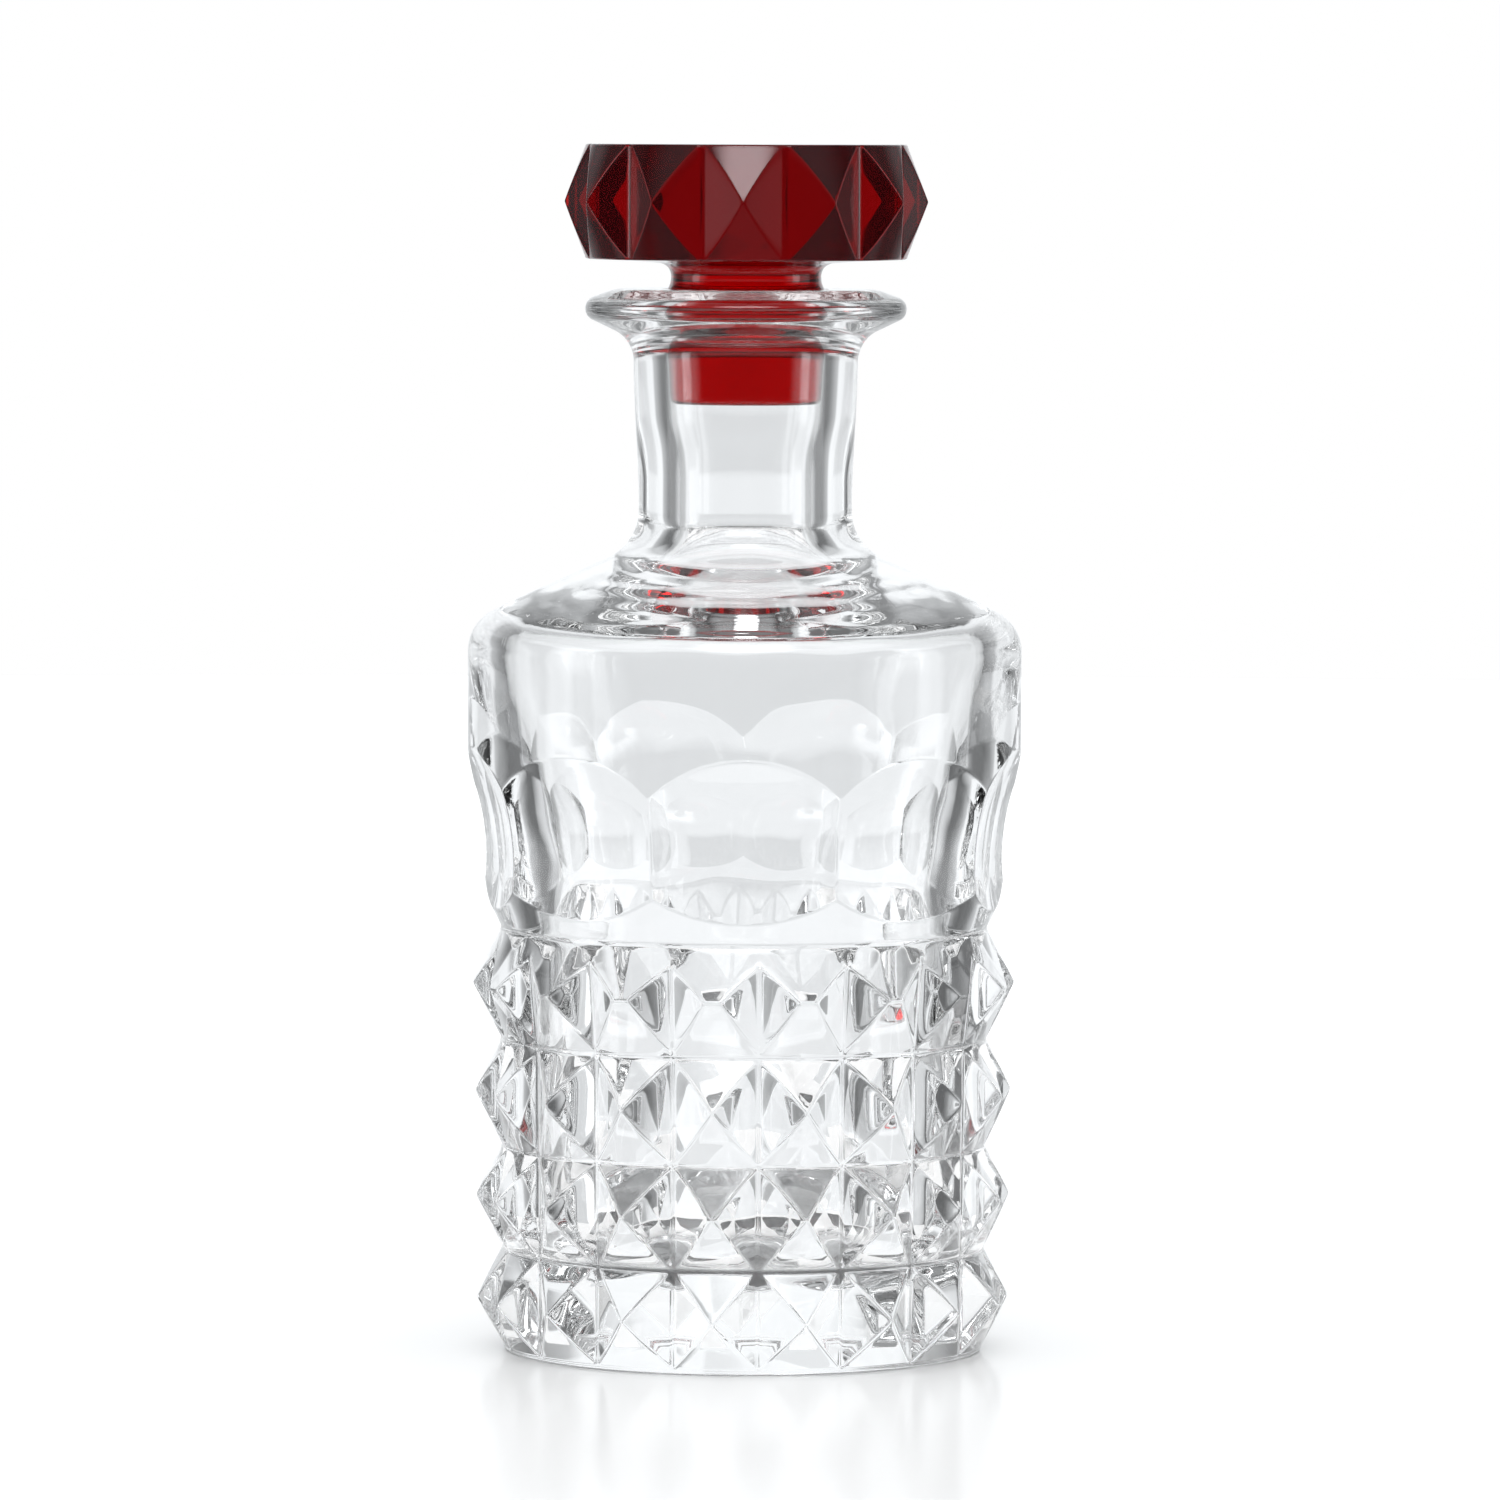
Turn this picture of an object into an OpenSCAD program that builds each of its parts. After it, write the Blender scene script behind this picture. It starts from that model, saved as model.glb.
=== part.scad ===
// Cut crystal decanter with a ruby stopper.
// The axis of the bottle is Z and the table is z = 0. The middle of one flute faces -Y.

/* [Body] */
// Radius of the plain band under the shoulder
body_r = 55.3; // [54:0.1:57]
// Height at which the plain band turns into the shoulder
shoulder_z = 140; // [138:0.5:142]
// Radius of the rounded corner between plain band and shoulder
corner_r = 8.6; // [6:0.2:9]
// Slope of the shoulder below the horizontal
shoulder_slope = 29; // [27:0.5:31]

/* [Cut diamonds] */
// Diamonds in one ring
diamond_count = 18; // [16:1:20]
// Height of each ring, from the table up
ring_heights = [20.4, 20.6, 21.4, 22.2];
// Radius of the diamond points in the lowest ring
point_r = 53.3; // [52.6:0.1:53.8]
// Radius of the grooves between rings, at the table
groove_r = 48.1; // [47.4:0.1:48.6]
// How much the diamonds lean outward from the table to the top ring
lean = 0.5; // [0:0.1:0.8]
// Turn of the diamonds about the axis
diamond_turn = 3.5; // [0:0.5:20]

/* [Flutes] */
// Flutes ground round the middle
flute_count = 9; // [8:1:10]
// Radius of the grinding wheel
wheel_r = 47; // [42:0.5:52]
// Height of the wheel's centre
wheel_z = 98.2; // [97:0.1:99]
// Distance from the axis to the deepest point of a flute
flute_r = 49.5; // [49.2:0.1:50]

/* [Neck and lip] */
// Outer radius of the neck at its waist
neck_r = 21.3; // [20.5:0.1:22.5]
// Outer radius of the neck under the lip
neck_top_r = 22.4; // [22:0.1:23]
// Outer radius of the lip
lip_r = 32.1; // [30:0.1:34]
// Height of the flat top of the lip
lip_z = 212.2; // [212:0.1:213]

/* [Inside] */
// Radius of the ground bore that takes the stopper
bore_r = 15.7; // [15.4:0.1:16]
// Radius of the neck's inside below the ground bore
throat_r = 13.2; // [13:0.1:14.2]
// Inner radius at the diamonds
inner_r = 42.5; // [40:0.5:43]
// Inner radius at the top of the plain band
inner_top_r = 48.4; // [46.5:0.1:48.8]
// Thickness of the solid bottom
bottom_t = 15; // [12:0.5:17]

/* [Stopper] */
// Diamonds round the stopper's head
stopper_count = 12; // [10:1:14]
// Radius of the points of the head
head_r = 36.3; // [35.5:0.1:37.5]
// Radius of the upright valleys of the head
head_valley_r = 32; // [31:0.1:32.4]
// Height of the head
head_h = 22.9; // [20:0.1:25]
// Radius of the waist between head and plug
waist_r = 15; // [14:0.1:15.3]
// Radial gap between plug and ground bore
fit_gap = 0.1; // [0.06:0.01:0.3]
// Turn of the stopper about the axis
stopper_turn = -1; // [-15:1:15]

/* [Hidden] */
$fn = 180;

// Levels of the diamond rings
ring_z = [for (k = [0:4]) k == 0 ? 0 : ring_heights[0] + (k > 1 ? ring_heights[1] : 0)
    + (k > 2 ? ring_heights[2] : 0) + (k > 3 ? ring_heights[3] : 0)];
diamonds_top = ring_z[4];
groove_flat = 0.3;   // half the height of a groove's narrow floor
foot_z = 0.8;        // height of the bevel round the foot
foot_in = 0.8;       // how far that bevel reaches inward
flank = 0.5;         // radius gained per mm of height above the top groove
// The upright V cuts of the top ring run out, so they get shallower above runout_z
runout_z = 60;
runout_scale = 1.052;
star_margin = 1;     // how far the upright cuts pass the table
valley_flat = 0.5;   // half the width of an upright cut's narrow floor
// Virtual crest where neighbouring upright cuts meet, as a multiple of their depth
crest_ratio = point_r / groove_r;

// Bottom recess, so that the bottle stands on a flat ring
recess_r = 37;
recess_depth = 1.2;

// Shoulder and neck
shoulder_end = [28, 158.4];
neck_fillet_r = 10.3;
neck_waist_z = 169;
neck_top_z = 197.6;
flare_r = 7;         // radius of the flare under the lip
rim_r = 2.5;         // roundness of the lip's edge
rim_z = 208.2;
lip_flat_r = 26;     // where the lip's flat top ends
mouth_round = 1.4;   // roundness of the mouth's inner edge

// Ground bore
seat_taper = 0.065;  // radius gained per mm of height
seat_z = 199;        // where the bore has the radius bore_r
seat_end_z = 187;    // lower end of the ground bore
throat_z = 174;      // where the narrow throat begins
throat_end_z = 164.7; // where it opens into the shoulder
throat_flare_r = 13;
inner_corner_r = 3.2; // roundness of the hollow's shoulder

// Stopper
head_z = 218.1;      // underside of the head at its edge
rim_cut = 0.5;       // bevel of the head's top and bottom edges
plug_z = 189.4;      // lower end of the plug
plug_top_z = 209;
plug_round = 1.2;

function arc(c, r, from, to, steps = 8) =
    [for (i = [0:steps]) c + r * [cos(from + (to - from) * i / steps), sin(from + (to - from) * i / steps)]];

function seat_r(z) = bore_r + seat_taper * (z - seat_z);

// Turned outline of one ring of diamonds between two groove levels
function ring(k) =
    let (low = ring_z[k], high = ring_z[k + 1], mid = (low + high) / 2,
         out = point_r + lean * mid / diamonds_top + (k == 3 ? 0.45 : 0))
    [[groove_r + lean * low / diamonds_top, low + (k == 0 ? foot_z : groove_flat)],
     [out, mid],
     [groove_r + lean * high / diamonds_top, high - groove_flat]];

// Outline of the bottle as it is before the upright cuts and the flutes
module turned_outline() {
    corner = [body_r - corner_r, shoulder_z];
    top_groove_r = groove_r + lean;
    polygon(concat(
        [[0, 0], [groove_r - foot_in, 0]],
        [for (k = [0:3]) each ring(k)],
        [[top_groove_r, diamonds_top + groove_flat],
         [body_r, diamonds_top + (body_r - top_groove_r) / flank]],
        arc(corner, corner_r, 0, 90 - shoulder_slope),
        [[43.4, 151.6], [36.5, 154.9]],
        arc(shoulder_end + neck_fillet_r * [sin(21), cos(21)], neck_fillet_r, 249, 180),
        [[neck_r, neck_waist_z]],
        arc([neck_top_r + flare_r, neck_top_z], flare_r, 180, 120),
        arc([lip_r - rim_r, rim_z], rim_r, -60, 65),
        [[lip_flat_r, lip_z], [0, lip_z]]
    ));
}

// Outline of the hollow, from the mouth down
module hollow_outline() {
    mouth_r = seat_r(lip_z);
    floor_r = 12;
    polygon(concat(
        [[0, lip_z + 1], [mouth_r + mouth_round, lip_z + 1]],
        arc([mouth_r + mouth_round, lip_z - mouth_round], mouth_round, 90, 180, 5),
        [for (i = [0:8]) let (t = i / 8)
            [throat_r + (seat_r(seat_end_z) - throat_r) * (1 + cos(180 * t)) / 2,
             seat_end_z + (throat_z - seat_end_z) * t]],
        arc([throat_r + throat_flare_r, throat_end_z], throat_flare_r, 180, 250),
        arc([inner_top_r - inner_corner_r, 140.3], inner_corner_r, 70, 0, 6),
        [[inner_top_r - 1.8, 125], [inner_r + 1.4, 104], [inner_r, 90]],
        arc([inner_r - floor_r, bottom_t + floor_r], floor_r, 0, -90),
        [[0, bottom_t]]
    ));
}

// Star with one narrow floor per upright cut; r is the depth of the cuts
module star(count, r, crest, turn) {
    step = 360 / count;
    half = asin(valley_flat / r);
    polygon([for (k = [0:count - 1]) each [
        r * [cos(turn + k * step - half), sin(turn + k * step - half)],
        r * [cos(turn + k * step + half), sin(turn + k * step + half)],
        crest * [cos(turn + (k + 0.5) * step), sin(turn + (k + 0.5) * step)]
    ]]);
}

// Space inside all the upright cuts of the diamond rings
module upright_cuts() {
    turn = diamond_turn - 90;
    top_scale = 1 + lean * runout_z / diamonds_top / groove_r;
    translate([0, 0, -star_margin])
        linear_extrude(runout_z + star_margin, scale = top_scale)
            star(diamond_count, groove_r, point_r, turn);
    translate([0, 0, runout_z])
        linear_extrude(diamonds_top - runout_z, scale = runout_scale)
            star(diamond_count, groove_r * top_scale, groove_r * top_scale * crest_ratio, turn);
    translate([0, 0, diamonds_top])
        cylinder(h = lip_z - diamonds_top + 1, r = body_r + 2);
}

// Material that the wheel takes away in one flute, on the +X side
module flute() {
    wheel_w = 60;
    translate([flute_r + wheel_r, 0, wheel_z])
        rotate([90, 0, 0])
            cylinder(h = wheel_w, r = wheel_r, center = true);
}

// Shallow dish in the bottom
module bottom_recess() {
    dish_r = (recess_r * recess_r + recess_depth * recess_depth) / (2 * recess_depth);
    translate([0, 0, recess_depth - dish_r])
        intersection() {
            sphere(r = dish_r, $fn = 360);
            translate([0, 0, dish_r]) cube([4 * recess_r, 4 * recess_r, 4 * recess_depth], center = true);
        }
}

module decanter() {
    color([0.9, 0.94, 0.95, 0.45])
    difference() {
        intersection() {
            rotate_extrude() turned_outline();
            upright_cuts();
        }
        rotate_extrude() hollow_outline();
        for (k = [0:flute_count - 1])
            rotate([0, 0, -90 + k * 360 / flute_count]) flute();
        bottom_recess();
    }
}

// Turned outline of the stopper's head
module head_outline() {
    edge_r = head_valley_r + 0.2;
    polygon([
        [0, head_z - 0.9], [17, head_z - 0.9], [edge_r - rim_cut, head_z], [edge_r, head_z + rim_cut],
        [head_r, head_z + head_h / 2],
        [edge_r, head_z + head_h - rim_cut], [edge_r - 2 * rim_cut, head_z + head_h], [0, head_z + head_h]
    ]);
}

// Turned outline of the waist and of the plug that fits the bore
module plug_outline() {
    top_r = seat_r(plug_top_z) - fit_gap;
    end_r = seat_r(plug_z + plug_round) - fit_gap;
    waist_z = 214.6;
    polygon(concat(
        [[0, head_z], [17.5, head_z - 0.8]],
        arc([waist_r + 3, waist_z], 3, 130, 210, 6),
        [[top_r - 0.3, plug_top_z + 0.8], [top_r, plug_top_z]],
        arc([end_r - plug_round, plug_z + plug_round], plug_round, 0, -90, 5),
        [[0, plug_z]]
    ));
}

module stopper() {
    color([0.55, 0.01, 0.04, 0.9])
    rotate([0, 0, stopper_turn - 90]) {
        intersection() {
            rotate_extrude() head_outline();
            translate([0, 0, head_z - 2])
                linear_extrude(head_h + 4)
                    star(stopper_count, head_valley_r, head_r, 180 / stopper_count);
        }
        rotate_extrude() plug_outline();
    }
}

decanter();
stopper();
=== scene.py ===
import math

import bmesh
import bpy
import numpy as np
from mathutils import Matrix, Vector


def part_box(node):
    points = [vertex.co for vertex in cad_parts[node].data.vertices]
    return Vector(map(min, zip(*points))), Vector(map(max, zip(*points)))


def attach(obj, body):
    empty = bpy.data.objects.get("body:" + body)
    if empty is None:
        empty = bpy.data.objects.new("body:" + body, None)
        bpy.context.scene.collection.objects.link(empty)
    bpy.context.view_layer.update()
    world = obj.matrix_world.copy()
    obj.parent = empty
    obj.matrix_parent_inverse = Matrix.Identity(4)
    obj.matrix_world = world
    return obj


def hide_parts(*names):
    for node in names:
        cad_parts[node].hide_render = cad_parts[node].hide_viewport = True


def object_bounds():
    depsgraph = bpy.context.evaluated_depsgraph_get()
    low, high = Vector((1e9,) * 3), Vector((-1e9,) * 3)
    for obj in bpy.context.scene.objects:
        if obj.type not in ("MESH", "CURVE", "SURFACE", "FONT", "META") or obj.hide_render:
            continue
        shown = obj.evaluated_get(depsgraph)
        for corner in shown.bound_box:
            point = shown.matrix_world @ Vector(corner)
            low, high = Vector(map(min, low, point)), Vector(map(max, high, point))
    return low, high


# The looks of a cut crystal decanter and its ruby stopper. Lengths are in millimetres until a mesh
# is made, and angles are in degrees. An angle round the bottle is 0 at the front (-Y) and 90 on the
# right (+X).

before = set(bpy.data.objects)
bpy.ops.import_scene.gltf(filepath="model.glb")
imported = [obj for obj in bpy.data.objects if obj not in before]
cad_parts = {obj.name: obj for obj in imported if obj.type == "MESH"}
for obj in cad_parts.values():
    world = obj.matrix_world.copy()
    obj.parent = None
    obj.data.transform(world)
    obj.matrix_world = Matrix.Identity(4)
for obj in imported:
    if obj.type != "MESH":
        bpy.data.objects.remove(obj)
cad_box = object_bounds()
MM = 0.001
bottle_low, bottle_high = (Vector(p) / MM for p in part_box("decanter"))
stopper_low, stopper_high = (Vector(p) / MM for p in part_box("stopper"))

LIP_Z = bottle_high.z
BAND_R = bottle_high.x          # the plain band under the shoulder is the widest part
HEAD_TOP_Z = stopper_high.z
PLUG_Z = stopper_low.z

# Polished edges: the width of the strip on each side of an edge, and how far the rounding reaches
EDGE = 0.28
ROUND = 0.4
FLUTE_ROUND = 0.2

# Cut diamonds, from the table up
DIAMONDS = 18
DIAMOND_TURN = 3.5
GROOVES = [(1.0, 48.0), (20.4, 48.1), (41.0, 48.3), (62.4, 48.5), (84.6, 48.5)]  # height, radius
POINT_Z = [10.4, 31.0, 52.0, 73.6]
POINT_BLUNT = 0.03              # how far the points stay inside the crests of the upright cuts
TOP_POINT_R = 54.3              # the highest row's cones meet before its crests do, in a short ridge
CUT_R = 47.95                   # radius of the upright cuts at the table
CREST_RATIO = 1.1105            # radius where two cuts meet, over the radius of their floors
CUT_LEAN = 0.01                 # radius that the cuts gain per mm of height
RUNOUT_Z = 60                   # above this the cuts get shallower
RUNOUT_LEAN = 0.102
VALLEY_RISE = 0.3               # how high the rounded floor of a cut reaches up its sides
VALLEY_ROUND = 0.45

# Flutes
FLUTES = 9
WHEEL_R = 47
WHEEL_Z = 98.2
FLUTE_R = 49.5
FLANK = 0.5                     # radius gained per mm of height between top groove and flutes

# Shoulder and hollow
BAND_LOW_Z = 128                # height where the plain band's own mesh begins
CORNER_R = 8.6
SHOULDER_Z = 140
UNEVEN = 0.05                   # how far the wall of the hollow wanders
WAVE = 0.02                     # height of the rings inside the shoulder

# Ground seat of the stopper: its radius at one height, how it widens upward, and the plug's gap
SEAT_R = 15.7
SEAT_Z = 199
SEAT_TAPER = 0.065
PLUG_GAP = 0.1

# Stopper head
STUDS = 12
STUD_TURN = -1
HEAD_R = 36.3
HEAD_VALLEY_R = 32
HEAD_EDGE_R = 32.2
HEAD_Z = 218.1                  # underside of the head at its edge
HEAD_RIM = 0.5
HEAD_SINK = 0.75                # how far the underside drops from its edge to the waist
STUD_EDGE = 0.14
STUD_ROUND = 0.13

# Glass, in metres where it is a length
GLASS_IOR = 1.54
RIPPLE_HEIGHT = 0.00002
RIPPLE_SIZE = 0.012

# Studio: light panels, each as degrees to each side of the back wall's middle and how soft that edge
# is, degrees above the horizon and how soft that edge is, and brightness
PANELS = [
    (-99, 38, 26, -54, 58, 14, 0.88),       # backdrop
    (-99, 34, 20, -7, 54, 6, 1.05),         # its upper part
    (12, 34, 6, -46, 18, 12, 1.03),         # its parts left and right of the bottle
    (-99, 54, 16, 14, 52, 6, 0.62),         # upper walls beside it
    (-99, 18, 9, -50, -28, 7, 1.15),        # sheen on the far part of the table
    (66, 114, 8, -26, 20, 12, 0.75),        # glow round the side panels
    (89, 104, 4, -16, 20, 10, 2.7),         # side panels
    (112, 190, 14, 4, 28, 6, 0.3),          # glow under the front panel
    (104, 158, 18, 30, 54, 8, 0.35),        # glow beside the front panel
    (158, 190, 12, 35, 49, 7, 6.4),         # front panel, above the camera
    (-99, 190, 1, 60, 110, 10, 0.75),       # ceiling
    (-99, 100, 10, -110, 110, 1, 0.14),     # walls behind and beside
    (100, 190, 10, -90, -30, 8, 0.18),      # the table in front
]
ROOM_LIGHT = 0.025              # what comes from every direction that has no panel
STUDIO_TINT = (0.955, 0.98, 1.0, 1)
TABLE_LIGHT = 1.42              # what lights matt surfaces from all round: the table, the ruby's haze


# ---------- Outlines ----------

def smooth_min(a, b, width):
    """The smaller of a and b, rounding the corner between them where they differ by less than width."""
    h = np.clip(0.5 + 0.5 * (b - a) / width, 0, 1)
    return b + (a - b) * h - width * h * (1 - h)


def smooth_max(a, b, width):
    return -smooth_min(-a, -b, width)


def crossing(f, low, high):
    """The place between low and high where f changes sign."""
    rising = f(high) > f(low)
    for _ in range(50):
        middle = (low + high) / 2
        if (f(middle) > 0) == rising:
            high = middle
        else:
            low = middle
    return (low + high) / 2


def line(p, q, z):
    """Radius at height z on the straight line through p and q, each a (height, radius)."""
    return p[1] + (q[1] - p[1]) * (z - p[0]) / (q[0] - p[0])


def arc(centre, r, start, end, steps=12):
    angles = np.radians(np.linspace(start, end, steps + 1))
    return [(centre[0] + r * math.cos(a), centre[1] + r * math.sin(a)) for a in angles]


def bezier(a, b, c, d, steps=12):
    """A smooth curve from a to d that leaves towards b and arrives from c."""
    t = np.linspace(0, 1, steps + 1)[:, None]
    a, b, c, d = (np.array(p, float) for p in (a, b, c, d))
    points = a * (1 - t) ** 3 + 3 * b * t * (1 - t) ** 2 + 3 * c * t ** 2 * (1 - t) + d * t ** 3
    return [tuple(p) for p in points]


def spread(half, edge, count):
    """Places from -half to half, with two narrow strips at each end that hold the edge's shape."""
    edge = min(edge, half / (count + 3))
    inner = np.linspace(-(half - 2.5 * edge), half - 2.5 * edge, count + 1)
    return np.concatenate([[-half, edge - half], inner, [half - edge, half]])


class Cuts:
    """Upright V cuts round an axis. Between two cuts the glass stands up to a crest."""

    def __init__(self, count, turn, floor_r, crest_r, edge, scale=lambda z: 1.0):
        self.count = count
        self.half = 180 / count
        self.turn = turn
        self.floor_r = floor_r
        self.scale = scale
        half = math.radians(self.half)
        self.tilt = math.atan((crest_r / floor_r - math.cos(half)) / math.sin(half))
        self.distance = crest_r * math.cos(self.tilt)
        self.edge_width = edge
        self.edge = math.degrees(edge / crest_r)

    def side(self, angle):
        """Radius of a cut's flat side at that many degrees from its crest, at scale 1."""
        return self.distance / np.cos(self.tilt - np.radians(angle))

    def radius(self, angle, z, edge):
        """Radius of the cut glass at angle degrees from the nearest crest."""
        angle = np.abs(angle)
        crest = smooth_min(self.side(angle), self.side(-angle), edge)
        return self.scale(z) * smooth_max(crest, self.side(2 * self.half - angle), VALLEY_ROUND)

    def angle_at(self, radius, z):
        """Degrees from the crest at which a cut's side has that radius."""
        ratio = np.clip(self.scale(z) * self.distance / radius, -1, 1)
        return np.clip(np.degrees(self.tilt - np.arccos(ratio)), 0, self.half)


# ---------- Meshes ----------

class Shell:
    """Collects patches of one closed surface. Points are (degrees round the axis, radius, height)."""

    def __init__(self):
        self.points = []
        self.faces = []

    def add(self, points):
        first = len(self.points)
        self.points.extend(points)
        return first

    def patch(self, angle, radius, height):
        """A grid of quads from three arrays of one shape."""
        angle, radius, height = np.broadcast_arrays(angle, radius, height)
        rows, columns = angle.shape
        first = self.add(list(zip(angle.ravel(), radius.ravel(), height.ravel())))
        for i in range(rows - 1):
            for j in range(columns - 1):
                a = first + i * columns + j
                self.faces.append((a, a + 1, a + columns + 1, a + columns))

    def turned(self, outline, angles, wave=None):
        """A turned surface whose outline is a list of (radius, height). wave gives how far a point at
        an angle, radius and height lies outside it."""
        r, z = np.array(outline, float).T[:, :, None]
        closed = np.append(angles, angles[0] + 360)[None, :]
        self.patch(closed, r + wave(closed, r, z) if wave else r, z)

    def cap(self, angles, radii, height):
        """Closes a flat end with a fan of triangles."""
        count = len(angles)
        centre = self.add([(0, 0, height)])
        first = self.add([(a, r, height) for a, r in zip(angles, radii)])
        for i in range(count):
            self.faces.append((centre, first + i, first + (i + 1) % count))

    def zip_rings(self, ring_a, ring_b, radius_a, radius_b, z_a, z_b):
        """Joins two whole rings whose angles differ with a narrow belt of triangles."""
        a = sorted(x % 360 for x in ring_a)
        b = sorted(x % 360 for x in ring_b)
        first_a = self.add([(x, radius_a, z_a) for x in a])
        first_b = self.add([(x, radius_b, z_b) for x in b])
        a.append(a[0] + 360)
        b.append(b[0] + 360)
        i = j = 0
        while i < len(a) - 1 or j < len(b) - 1:
            here_a = first_a + i % (len(a) - 1)
            here_b = first_b + j % (len(b) - 1)
            if j == len(b) - 1 or (i < len(a) - 1 and a[i + 1] < b[j + 1]):
                i += 1
                self.faces.append((here_a, first_a + i % (len(a) - 1), here_b))
            else:
                j += 1
                self.faces.append((here_a, first_b + j % (len(b) - 1), here_b))

    def build(self, name):
        """The finished object: patches welded, degenerate faces gone, normals outward."""
        angle, radius, height = np.array(self.points, float).T
        turn = np.radians(angle)
        xyz = np.stack([radius * np.sin(turn), -radius * np.cos(turn), height], axis=1) * MM
        mesh = bpy.data.meshes.new(name)
        mesh.from_pydata(xyz.tolist(), [], self.faces)
        work = bmesh.new()
        work.from_mesh(mesh)
        bmesh.ops.remove_doubles(work, verts=work.verts, dist=2e-6)
        bmesh.ops.dissolve_degenerate(work, edges=work.edges, dist=1e-7)
        bmesh.ops.recalc_face_normals(work, faces=work.faces)
        open_edges = sum(1 for e in work.edges if not e.is_manifold)
        work.to_mesh(mesh)
        work.free()
        mesh.shade_smooth()
        obj = bpy.data.objects.new(name, mesh)
        bpy.context.scene.collection.objects.link(obj)
        print(f"{name}: {len(mesh.polygons)} faces, {open_edges} open edges")
        return obj


def diamond_cells(shell, cuts, low, point, high, surface, columns=8, rings=8):
    """One row of four-sided diamonds. low, point and high are the (height, radius) of the turned
    outline's lower end, widest place and upper end, and surface gives the radius at an angle from the
    crest and a height. Returns the lower and upper end of the cells and the half-width of a cell."""
    meet = cuts.floor_r + VALLEY_RISE
    wide = cuts.angle_at(cuts.scale(0) * meet, 0)
    z_low = crossing(lambda z: line(low, point, z) - cuts.scale(z) * meet, low[0] - 5, point[0])
    z_high = crossing(lambda z: line(point, high, z) - cuts.scale(z) * meet, point[0], high[0] + 5)
    reach = spread(0.5, cuts.edge_width / (z_high - z_low) * 2, rings) + 0.5

    def ring(s):
        """The four sides of the ring at s from the diamond's point to its border."""
        top = point[0] + (z_high - point[0]) * s
        bottom = point[0] + (z_low - point[0]) * s
        wide_top = cuts.angle_at(line(point, high, top), top) if s < 1 else wide
        wide_bottom = cuts.angle_at(line(low, point, bottom), bottom) if s < 1 else wide
        middle = (top + bottom) / 2
        t = spread((top - bottom) / 2, cuts.edge_width, columns) + middle
        share = (t - bottom) / max(top - bottom, 1e-9)
        side = wide_bottom + (wide_top - wide_bottom) * share
        across_top = spread(wide_top, cuts.edge, columns)
        across_bottom = spread(wide_bottom, cuts.edge, columns)
        return [
            (across_top, np.full_like(across_top, top)),
            (across_bottom, np.full_like(across_bottom, bottom)),
            (side, t),
            (-side, t),
        ]

    ring_sides = [ring(s) for s in reach]
    for k in range(cuts.count):
        crest = cuts.turn + cuts.half + k * 2 * cuts.half
        for number in range(4):
            angle = np.array([sides[number][0] for sides in ring_sides])
            height = np.array([sides[number][1] for sides in ring_sides])
            shell.patch(angle + crest, surface(angle, height), height)
    return z_low, z_high, wide


def cut_floors(shell, cuts, spans, edge, surface, rows=8):
    """The floors of the upright cuts beside each row of diamonds."""
    valley = valley_columns(cuts, spans[0][2])
    from_crest = np.where(valley > cuts.half, 2 * cuts.half - valley, valley)
    for z_low, z_high, _ in spans:
        z = spread((z_high - z_low) / 2, edge, rows) + (z_high + z_low) / 2
        for k in range(cuts.count):
            crest = cuts.turn + cuts.half * (2 * k + 1)
            shell.patch(valley[None, :] + crest, surface(from_crest[None, :], z[:, None]), z[:, None])


def valley_columns(cuts, wide):
    """Angles from the crest across the floor of the cut beside a diamond."""
    return np.linspace(wide, 2 * cuts.half - wide, 5)


def all_round(cuts, wide, columns=8):
    """Every column of a ring of diamonds: its angle round the axis once each, the same with the first
    one repeated at the end, and the angle from the nearest crest for each of those."""
    across = spread(wide, cuts.edge, columns)
    valley = valley_columns(cuts, wide)[1:-1]
    one = np.concatenate([across, valley])
    crests = [cuts.turn + cuts.half + k * 2 * cuts.half for k in range(cuts.count)]
    angles = np.concatenate([crest + one for crest in crests])
    from_crest = np.tile(np.concatenate([across, 2 * cuts.half - valley]), cuts.count)
    return angles, np.append(angles, angles[0] + 360), np.append(from_crest, across[0])


# ---------- Decanter ----------

def cut_scale(z):
    """How the upright cuts' radius grows with height."""
    base = CUT_R + CUT_LEAN * np.minimum(z, RUNOUT_Z)
    return (base + RUNOUT_LEAN * np.maximum(np.asarray(z, float) - RUNOUT_Z, 0)) / CUT_R


bottle_cuts = Cuts(DIAMONDS, DIAMOND_TURN, CUT_R, CUT_R * CREST_RATIO, EDGE, cut_scale)
POINTS = [
    (z, min(TOP_POINT_R, float(CUT_R * CREST_RATIO * cut_scale(z)) - POINT_BLUNT)) for z in POINT_Z
]


def flank_radius(z):
    """The cone above the top groove, which the flutes cut into."""
    return GROOVES[-1][1] + FLANK * (z - GROOVES[-1][0])


def diamond_outline(z):
    """Turned outline of the four rings of diamonds."""
    radius = None
    for low, point, high in zip(GROOVES, POINTS, GROOVES[1:]):
        row = smooth_min(line(low, point, z), line(point, high, z), ROUND)
        radius = row if radius is None else smooth_max(radius, row, VALLEY_ROUND)
    return smooth_max(radius, flank_radius(z), VALLEY_ROUND)


def diamond_surface(angle, z):
    return smooth_min(diamond_outline(z), bottle_cuts.radius(angle, z, ROUND), ROUND)


def wheel(z):
    """Distance from the axis to the middle of a flute."""
    return FLUTE_R + WHEEL_R - np.sqrt(WHEEL_R ** 2 - (z - WHEEL_Z) ** 2)


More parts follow.
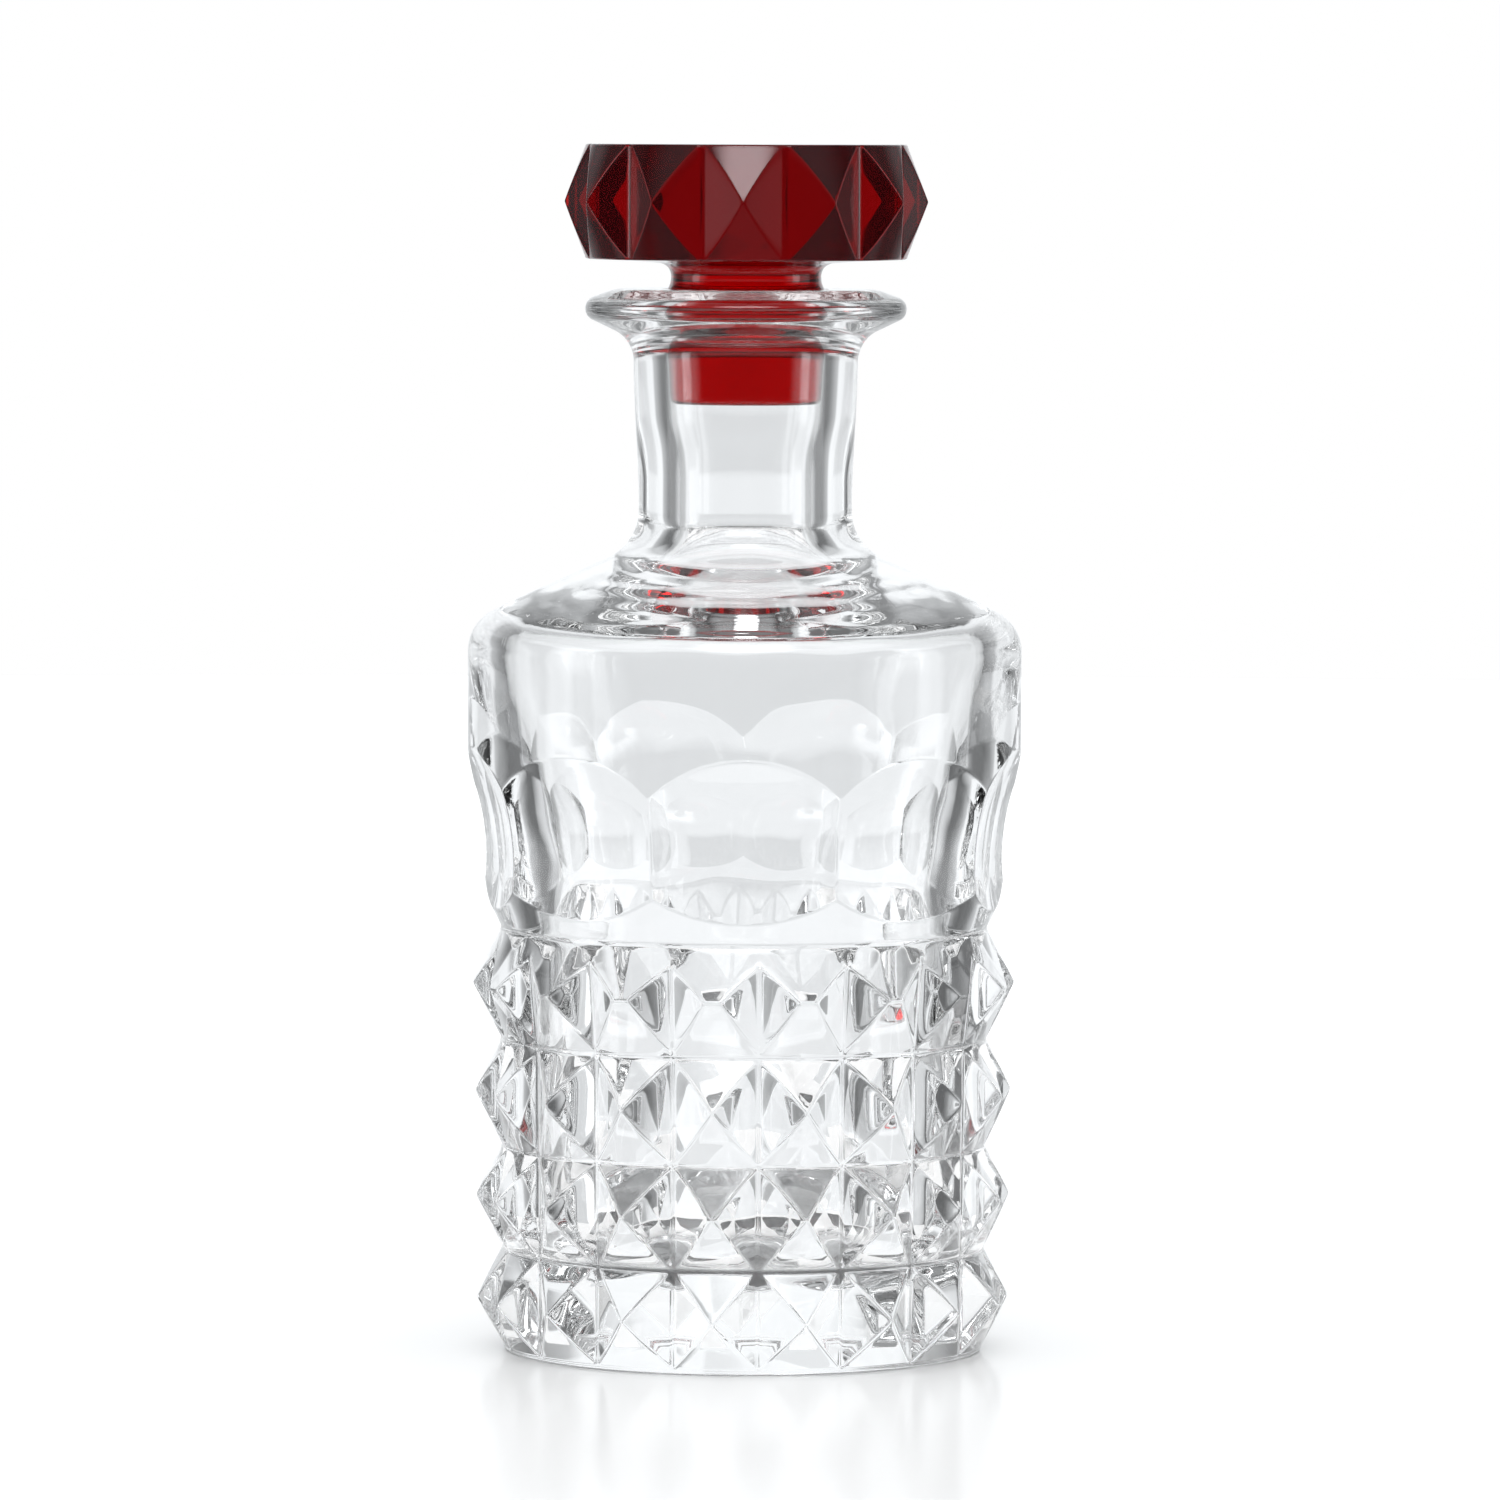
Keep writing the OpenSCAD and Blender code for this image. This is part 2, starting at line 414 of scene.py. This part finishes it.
def fluted_surface(angle, z):
    """Radius between the top groove and the plain band, at an angle from the middle of a flute."""
    angle = np.abs(angle)
    half = 180 / FLUTES
    near = wheel(z) / np.cos(np.radians(angle))
    next_one = wheel(z) / np.cos(np.radians(2 * half - angle))
    uncut = smooth_min(flank_radius(z), BAND_R, ROUND)
    return smooth_min(uncut, smooth_min(near, next_one, FLUTE_ROUND), FLUTE_ROUND)


def outer_top_outline():
    """From the plain band over the shoulder, up the neck and over the lip to the mouth's edge."""
    neck_r, neck_z = 21.3, 169
    fillet_r = 10.3
    under_lip = (22.4, 197.6)
    flare_r = 7
    rim = (BAND_R - 25.7, LIP_Z - 4)    # centre of the lip's rounded edge
    rim_r = 2.5
    lip_flat_r = 24
    band = [(BAND_R, BAND_LOW_Z), (BAND_R, SHOULDER_Z - 4)]
    shoulder = arc((BAND_R - CORNER_R, SHOULDER_Z), CORNER_R, 0, 61, 16)
    fillet = arc((neck_r + fillet_r, neck_z - 1), fillet_r, 247, 180, 16)
    flare = arc((under_lip[0] + flare_r, under_lip[1]), flare_r, 180, 120, 12)
    edge = arc(rim, rim_r, -62, 68, 14)
    sx, sz = shoulder[-1]
    fx, fz = fillet[0]
    slope = bezier((sx, sz), (sx - 6, sz + 3.2), (fx + 6, fz - 2.6), (fx, fz), 12)
    neck = bezier(fillet[-1], (neck_r - 0.05, neck_z + 8), (under_lip[0], 190), under_lip, 12)
    top = bezier(edge[-1], (rim[0] - 1.5, LIP_Z - 0.9), (lip_flat_r + 3, LIP_Z), (lip_flat_r, LIP_Z), 8)
    return band + shoulder + slope[1:] + fillet[1:] + neck[1:] + flare[1:] + edge + top[1:]


def seat_radius(z):
    """The ground taper that the plug sits in."""
    return SEAT_R + SEAT_TAPER * (z - SEAT_Z)


def shoulder_wave(r):
    """Height of the shallow rings that the mould left under the shoulder. They widen outward, with
    the logarithm of the distance from centre_r, and fade out at the throat and at the wall."""
    centre_r, first, growth = 14, 11, 0.273
    start_r, end_r = 27, 45
    fade = np.clip((r - start_r) / 6, 0, 1) * np.clip((end_r - r) / 3, 0, 1)
    if fade == 0:
        return 0.0
    return float(WAVE * fade * math.sin(2 * math.pi * math.log((r - centre_r) / first) / growth))


def hollow_wave(angle, r, z):
    """The hollow is blown, not cut, so its wall and shoulder are never quite even."""
    turn = np.radians(angle)
    fade = np.clip((165 - z) / 15, 0, 1) * np.clip((r - 15) / 10, 0, 1)
    waves = (np.sin(7 * turn + 0.31 * z + 1) + np.sin(11 * turn - 0.23 * z + 2)
             + 0.8 * np.sin(16 * turn + 0.47 * z))
    return UNEVEN * fade * waves


def inner_outline():
    """The hollow, from the mouth's edge to the middle of its floor."""
    mouth_round = 1.4
    mouth_r = seat_radius(LIP_Z)
    seat_end, throat, throat_end = 187.5, 174, 164.7
    throat_r = 13.2
    flare_r = 13
    top_r, top_z = 48.4, 140.3          # the wall's top, under the shoulder
    corner_r = 3.2
    inner_r, inner_z = 42.5, 90         # the straight wall inside the diamonds, and where it ends
    floor_r, floor_z = 14, 15           # the floor's rounded edge and height
    mouth = arc((mouth_r + mouth_round, LIP_Z - mouth_round), mouth_round, 90, 180, 8)
    seat = [(seat_radius(z), z) for z in (209, 205, 199, 193, seat_end)]
    seat_r = seat[-1][0]
    sink = bezier((seat_r, seat_end), (seat_r - 0.3, seat_end - 5),
                  (throat_r, throat + 5), (throat_r, throat))
    flare = arc((throat_r + flare_r, throat_end), flare_r, 180, 250, 14)
    fx, fz = flare[-1]
    corner = arc((top_r - corner_r, top_z), corner_r, 70, 0, 10)
    cx, cz = corner[0]
    smooth_roof = bezier((fx, fz), (fx + 7, fz - 2.5), (cx - 8, cz + 2.7), (cx, cz), 38)
    roof = [(r, z + shoulder_wave(r)) for r, z in smooth_roof]
    wall = bezier(corner[-1], (46.5, 122), (43.6, 104), (inner_r, inner_z), 14)
    side = [(inner_r, z) for z in range(inner_z - 5, floor_z + floor_r + 1, -5)]
    bend = arc((inner_r - floor_r, floor_z + floor_r), floor_r, 0, -90, 14)
    flat = [(20, floor_z), (10, floor_z)]
    return mouth + seat + sink[1:] + flare[1:] + roof[1:] + corner[1:] + wall[1:] + side + bend + flat


def foot_outline():
    """From the lowest cut down round the foot and across the shallow recess."""
    foot_z, foot_r = GROOVES[0]
    foot_round = 0.7
    recess_r, recess_depth = 37, 1.2
    foot = arc((foot_r - foot_round, foot_round), foot_round, 0, -90, 5)
    ring = [(foot_r - 2, 0), (42, 0), (recess_r + 0.6, 0)]
    dish = [(recess_r * s, recess_depth * (1 - s * s)) for s in np.linspace(1, 0.08, 8)]
    return [(foot_r, foot_z - 0.1)] + foot + ring + dish


def diamond_rings(shell, top_z):
    """The four rings of diamonds, and the foot under them, up to the height top_z. Returns the
    angles of its columns."""
    start_z = GROOVES[0][0] + 0.15
    spans = [
        diamond_cells(shell, bottle_cuts, low, point, high, diamond_surface)
        for low, point, high in zip(GROOVES, POINTS, GROOVES[1:])
    ]
    cut_floors(shell, bottle_cuts, spans, EDGE, diamond_surface)

    # The grooves between the rows, all the way round
    columns, closed, from_crest = all_round(bottle_cuts, spans[0][2])
    belts = [(start_z, spans[0][0])]
    belts += [(a[1], b[0]) for a, b in zip(spans, spans[1:])]
    belts += [(spans[-1][1], top_z)]
    for z_low, z_high in belts:
        z = np.linspace(z_low, z_high, 6)
        angle = np.broadcast_to(from_crest, (len(z), len(from_crest)))
        shell.patch(closed[None, :], diamond_surface(angle, z[:, None]), z[:, None])

    # Foot and underside
    outline = foot_outline()
    foot_r, foot_z = outline[0]
    first = diamond_surface(from_crest[None, :], np.full((1, 1), start_z))
    second = np.full_like(first, foot_r)
    shell.patch(closed[None, :], np.vstack([first, second]), np.array([[start_z], [foot_z]]))
    shell.turned(outline, columns)
    shell.cap(columns, np.full(len(columns), outline[-1][0]), outline[-1][1])
    return columns


def flutes(shell, bottom_z):
    """The nine flutes, from bottom_z up into the plain band. Returns the angles of their columns."""
    half = 180 / FLUTES
    u = spread(half, math.degrees(EDGE / FLUTE_R), 14)
    reach = FLUTE_R + WHEEL_R - BAND_R * np.cos(np.radians(u))
    arch = WHEEL_Z + np.sqrt(WHEEL_R ** 2 - reach ** 2)
    above_groove = 85
    scallop = [
        crossing(lambda z: wheel(z) / math.cos(turn) - flank_radius(z), above_groove, WHEEL_Z)
        for turn in [math.radians(a) for a in u]
    ]
    lower = [np.linspace(bottom_z, s - 3 * EDGE, 5).tolist() + [s - EDGE, s] for s in scallop]
    middle = [spread((t - s) / 2, EDGE, 14) + (t + s) / 2 for s, t in zip(scallop, arch)]
    upper = [[t, t + EDGE, t + 3 * EDGE] + np.linspace(t + 1, BAND_LOW_Z, 5).tolist() for t in arch]
    parts = [np.array(part).T for part in (lower, middle, upper)]
    for k in range(FLUTES):
        for z in parts:
            shell.patch(u[None, :] + 2 * half * k, fluted_surface(np.broadcast_to(u, z.shape), z), z)
    return np.concatenate([2 * half * k + u[:-1] for k in range(FLUTES)])


def decanter():
    shell = Shell()
    belt_low_z = GROOVES[-1][0] + 0.1
    belt_high_z = GROOVES[-1][0] + 0.6
    diamond_columns = diamond_rings(shell, belt_low_z)
    flute_columns = flutes(shell, belt_high_z)
    belt_low = float(diamond_surface(np.zeros(1), np.array([belt_low_z]))[0])
    belt_high = float(fluted_surface(np.zeros(1), np.array([belt_high_z]))[0])
    shell.zip_rings(diamond_columns, flute_columns, belt_low, belt_high, belt_low_z, belt_high_z)

    # Shoulder, neck, lip and the hollow
    inner = inner_outline()
    shell.turned(outer_top_outline() + inner[:1], flute_columns)
    shell.turned(inner, flute_columns, hollow_wave)
    shell.cap(flute_columns, np.full(len(flute_columns), inner[-1][0]), inner[-1][1])
    return shell.build("cut_crystal_body")


# ---------- Stopper ----------

def plug_outline():
    """From the head's underside over the waist to the foot of the ground plug."""
    waist_r, waist_z = 15.02, 214.6
    swell_r, swell_z = 16.0, 211.6
    plug_top = 209.6
    foot_round = 1.3
    foot_r = seat_radius(PLUG_Z + foot_round) - PLUG_GAP
    waist = bezier((17.6, HEAD_Z - HEAD_SINK), (15.6, HEAD_Z - 1.1), (15.05, 216), (waist_r, waist_z))
    swell = bezier((waist_r, waist_z), (15.0, 213.2), (15.5, 212.4), (swell_r, swell_z), 8)
    shoulder = bezier((swell_r, swell_z), (16.3, 211.1), (seat_radius(210.4) - PLUG_GAP, 210.6),
                      (seat_radius(plug_top) - PLUG_GAP, plug_top), 6)
    plug = [(seat_radius(z) - PLUG_GAP, z) for z in (205, 200, 195, PLUG_Z + foot_round + 0.3)]
    foot = arc((foot_r - foot_round, PLUG_Z + foot_round), foot_round, 0, -90, 8)
    return waist + swell[1:] + shoulder[1:] + plug + foot + [(10, PLUG_Z), (5, PLUG_Z)]


def stopper():
    shell = Shell()
    cuts = Cuts(STUDS, STUD_TURN - 180 / STUDS, HEAD_VALLEY_R - 0.1, HEAD_R, STUD_EDGE)
    low = (HEAD_Z + HEAD_RIM, HEAD_EDGE_R)
    high = (HEAD_TOP_Z - HEAD_RIM, HEAD_EDGE_R)
    point = ((low[0] + high[0]) / 2, HEAD_R)

    def surface(angle, z):
        cone = smooth_min(line(low, point, z), line(point, high, z), STUD_ROUND)
        return smooth_min(cone, cuts.radius(angle, z, STUD_ROUND), STUD_ROUND)

    fine = 10       # quads along one side of a diamond
    span = diamond_cells(shell, cuts, low, point, high, surface, fine, fine)
    cut_floors(shell, cuts, [span], STUD_EDGE, surface, fine)
    z_low, z_high, wide = span
    columns, closed, from_crest = all_round(cuts, wide, fine)

    def rim(z_edge, z_flat, centre_r, centre_z):
        """Rolls the edge over from the cells to a face that runs in to centre_r."""
        edge_r = surface(from_crest, np.full_like(from_crest, z_edge))
        rise = z_flat - z_edge
        # How far in, and which share of the rise
        roll = [(0, 0), (0.06, 0.45), (0.2, 0.8), (0.45, 1), (0.9, 1), (1.4, 1)]
        radius = [edge_r - inset for inset, _ in roll]
        height = [np.full_like(edge_r, z_edge + rise * up) for _, up in roll]
        last_r, last_z = radius[-1], height[-1]
        for share in (0.35, 0.7, 1):
            radius.append(last_r + (centre_r - last_r) * share)
            height.append(last_z + (centre_z - last_z) * share)
        shell.patch(closed[None, :], np.array(radius), np.array(height))

    outline = plug_outline()
    top_r, end_r = 6.0, outline[-1][0]
    rim(z_high, HEAD_TOP_Z, top_r, HEAD_TOP_Z)
    shell.cap(columns, np.full(len(columns), top_r), HEAD_TOP_Z)
    rim(z_low, HEAD_Z, outline[0][0], HEAD_Z - HEAD_SINK)
    shell.turned(outline, columns)
    shell.cap(columns, np.full(len(columns), float(end_r)), PLUG_Z)
    return shell.build("ruby_stopper")


# ---------- Materials ----------

def set_inputs(node, values):
    for name, value in values.items():
        node.inputs[name].default_value = value


def new_material(name):
    material = bpy.data.materials.new(name)
    material.use_nodes = True
    nodes = material.node_tree.nodes
    return material, nodes, material.node_tree.links, nodes["Principled BSDF"], nodes["Material Output"]


def glass(name, tint, density, haze=0.0, haze_tint=(1, 1, 1)):
    """Polished lead crystal: clear surface with a faint polishing ripple, and colour from its depth.
    The haze is the small part of the light that the colour scatters back."""
    material, nodes, links, shader, output = new_material(name)
    set_inputs(shader, {
        "Base Color": (*haze_tint, 1), "Transmission Weight": 1 - haze, "IOR": GLASS_IOR,
    })
    place = nodes.new("ShaderNodeTexCoord")
    ripple = nodes.new("ShaderNodeTexNoise")
    set_inputs(ripple, {"Scale": 1 / RIPPLE_SIZE, "Detail": 1})
    bump = nodes.new("ShaderNodeBump")
    set_inputs(bump, {"Strength": 1, "Distance": RIPPLE_HEIGHT})
    # Faint wipe marks
    smears = nodes.new("ShaderNodeTexNoise")
    set_inputs(smears, {"Scale": 40, "Detail": 4})
    gloss = nodes.new("ShaderNodeMapRange")
    set_inputs(gloss, {"From Min": 0.45, "From Max": 0.75, "To Min": 0, "To Max": 0.02})
    links.new(place.outputs["Object"], ripple.inputs["Vector"])
    links.new(place.outputs["Object"], smears.inputs["Vector"])
    links.new(ripple.outputs["Fac"], bump.inputs["Height"])
    links.new(bump.outputs["Normal"], shader.inputs["Normal"])
    links.new(smears.outputs["Fac"], gloss.inputs["Value"])
    links.new(gloss.outputs["Result"], shader.inputs["Roughness"])
    depth = nodes.new("ShaderNodeVolumeAbsorption")
    set_inputs(depth, {"Color": (*tint, 1), "Density": density})
    links.new(depth.outputs["Volume"], output.inputs["Volume"])
    return material


def floor_material():
    """White, glossy close to the bottle and matt further out, with painted shade in its colour: greyer
    right under the bottle, where the bottle takes the light away. Distances here are in metres."""
    material, nodes, links, shader, output = new_material("white_table")
    place = nodes.new("ShaderNodeTexCoord")
    away = nodes.new("ShaderNodeVectorMath")
    away.operation = "LENGTH"
    links.new(place.outputs["Object"], away.inputs[0])

    def ramp(near, far, start, end):
        node = nodes.new("ShaderNodeMapRange")
        node.interpolation_type = "SMOOTHSTEP"
        links.new(away.outputs["Value"], node.inputs["Value"])
        set_inputs(node, {"From Min": near, "From Max": far, "To Min": start, "To Max": end})
        return node.outputs["Result"]

    white = 0.95
    # Painted shade: the table's colour greys from white 6 cm out to 0.45 within 3 cm of the middle,
    # under the bottle
    links.new(ramp(0.03, 0.06, 0.45, white), shader.inputs["Base Color"])
    set_inputs(shader, {"Roughness": 0.18, "Specular IOR Level": 0.5})
    matt = nodes.new("ShaderNodeBsdfDiffuse")
    set_inputs(matt, {"Color": (white, white, white, 1)})
    mix = nodes.new("ShaderNodeMixShader")
    links.new(ramp(0.2, 0.5, 0, 1), mix.inputs["Fac"])
    links.new(shader.outputs["BSDF"], mix.inputs[1])
    links.new(matt.outputs["BSDF"], mix.inputs[2])
    links.new(mix.outputs["Shader"], output.inputs["Surface"])
    return material


# ---------- Studio ----------

def studio_world():
    """A white backdrop, dark sides and soft light from the front and from above."""
    world = bpy.data.worlds.new("studio")
    bpy.context.scene.world = world
    world.use_nodes = True
    nodes, links = world.node_tree.nodes, world.node_tree.links
    nodes.clear()
    output = nodes.new("ShaderNodeOutputWorld")
    place = nodes.new("ShaderNodeTexCoord")
    split = nodes.new("ShaderNodeSeparateXYZ")
    links.new(place.outputs["Generated"], split.inputs["Vector"])

    def math_node(kind, a, b=None):
        node = nodes.new("ShaderNodeMath")
        node.operation = kind
        for socket, value in zip(node.inputs, (a, b)):
            if value is None:
                continue
            if isinstance(value, (int, float)):
                socket.default_value = value
            else:
                links.new(value, socket)
        return node.outputs[0]

    def step(value, edge, soft):
        """0 below the edge, 1 above it."""
        node = nodes.new("ShaderNodeMapRange")
        node.interpolation_type = "SMOOTHSTEP"
        links.new(value, node.inputs["Value"])
        set_inputs(node, {"From Min": edge - soft, "From Max": edge + soft})
        return node.outputs["Result"]

    def window(value, low, high, soft):
        return math_node("SUBTRACT", step(value, low, soft), step(value, high, soft))

    # Degrees to either side of the back wall's middle, and degrees above the horizon
    azimuth = math_node("ABSOLUTE", math_node("ARCTAN2", split.outputs["X"], split.outputs["Y"]))
    azimuth = math_node("MULTIPLY", azimuth, 180 / math.pi)
    elevation = math_node("MULTIPLY", math_node("ARCSINE", split.outputs["Z"]), 180 / math.pi)
    total = None
    for low, high, side_soft, bottom, top, end_soft, strength in PANELS:
        across = window(azimuth, low, high, side_soft)
        panel = math_node("MULTIPLY", across, window(elevation, bottom, top, end_soft))
        panel = math_node("MULTIPLY", panel, strength)
        total = panel if total is None else math_node("MAXIMUM", total, panel)
    light = nodes.new("ShaderNodeBackground")
    set_inputs(light, {"Color": STUDIO_TINT})
    links.new(math_node("MAXIMUM", total, ROOM_LIGHT), light.inputs["Strength"])
    # Even light on matt surfaces, and plain white for what the camera sees past the table
    rays = nodes.new("ShaderNodeLightPath")
    shown = light.outputs["Background"]
    for ray, strength in (("Is Diffuse Ray", TABLE_LIGHT), ("Is Camera Ray", 1)):
        plain = nodes.new("ShaderNodeBackground")
        set_inputs(plain, {"Color": (1, 1, 1, 1), "Strength": strength})
        mix = nodes.new("ShaderNodeMixShader")
        links.new(rays.outputs[ray], mix.inputs["Fac"])
        links.new(shown, mix.inputs[1])
        links.new(plain.outputs["Background"], mix.inputs[2])
        shown = mix.outputs["Shader"]
    links.new(shown, output.inputs["Surface"])


def table():
    """A pale card under the bottle, and the rest of the table round it, which only the camera sees.
    Lengths are in metres."""
    card_r, table_r = 0.15, 2.5
    below = 0.0001          # keeps the table's face clear of the bottle's foot
    round_steps = 128
    material = floor_material()
    for name, inner, outer in (("card", 0, card_r), ("table", card_r, table_r)):
        shell = bmesh.new()
        bmesh.ops.create_circle(shell, cap_ends=inner == 0, radius=outer, segments=round_steps)
        if inner:
            bmesh.ops.create_circle(shell, radius=inner, segments=round_steps)
            bmesh.ops.bridge_loops(shell, edges=shell.edges)
        mesh = bpy.data.meshes.new(name)
        shell.to_mesh(mesh)
        shell.free()
        obj = bpy.data.objects.new(name, mesh)
        obj.location.z = cad_box[0][2] - below
        obj.data.materials.append(material)
        bpy.context.scene.collection.objects.link(obj)
        if inner:
            obj.visible_transmission = False
            obj.visible_glossy = False


def camera():
    """A long lens 2.1 m away, a little above the stopper's top."""
    eye = Vector((0, -2.1, 0.248))
    target = Vector((0.0011, 0, 0.120))
    view_width = 0.3
    roll = math.radians(0.2)
    data = bpy.data.cameras.new("camera")
    data.sensor_width = 36
    data.lens = data.sensor_width * (target - eye).length / view_width
    data.clip_end = 50
    obj = bpy.data.objects.new("camera", data)
    aim = (target - eye).to_track_quat("-Z", "Y").to_matrix().to_4x4()
    obj.matrix_world = Matrix.Translation(eye) @ aim @ Matrix.Rotation(roll, 4, "Z")
    bpy.context.scene.collection.objects.link(obj)
    bpy.context.scene.camera = obj


def render_quality():
    scene = bpy.context.scene
    scene.view_settings.view_transform = "Standard"
    scene.cycles.max_bounces = 32
    scene.cycles.transmission_bounces = 32
    scene.cycles.glossy_bounces = 16
    scene.cycles.diffuse_bounces = 4
    scene.cycles.transparent_max_bounces = 16
    scene.cycles.blur_glossy = 0.3
    scene.cycles.sample_clamp_indirect = 8
    scene.cycles.use_denoising = True


camera()
studio_world()
table()
render_quality()

crystal = glass("clear_lead_crystal", (0.97, 0.985, 0.98), 1.5)
ruby = glass("ruby_lead_crystal", (0.84, 0.0, 0.05), 195, haze=0.035, haze_tint=(1, 0.03, 0.05))
for make, node, material, slot in (
    (decanter, "decanter", crystal, "clear_crystal"),
    (stopper, "stopper", ruby, "ruby_crystal"),
):
    piece = make()
    piece.data.materials.append(material)
    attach(piece, node)
    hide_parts(node)
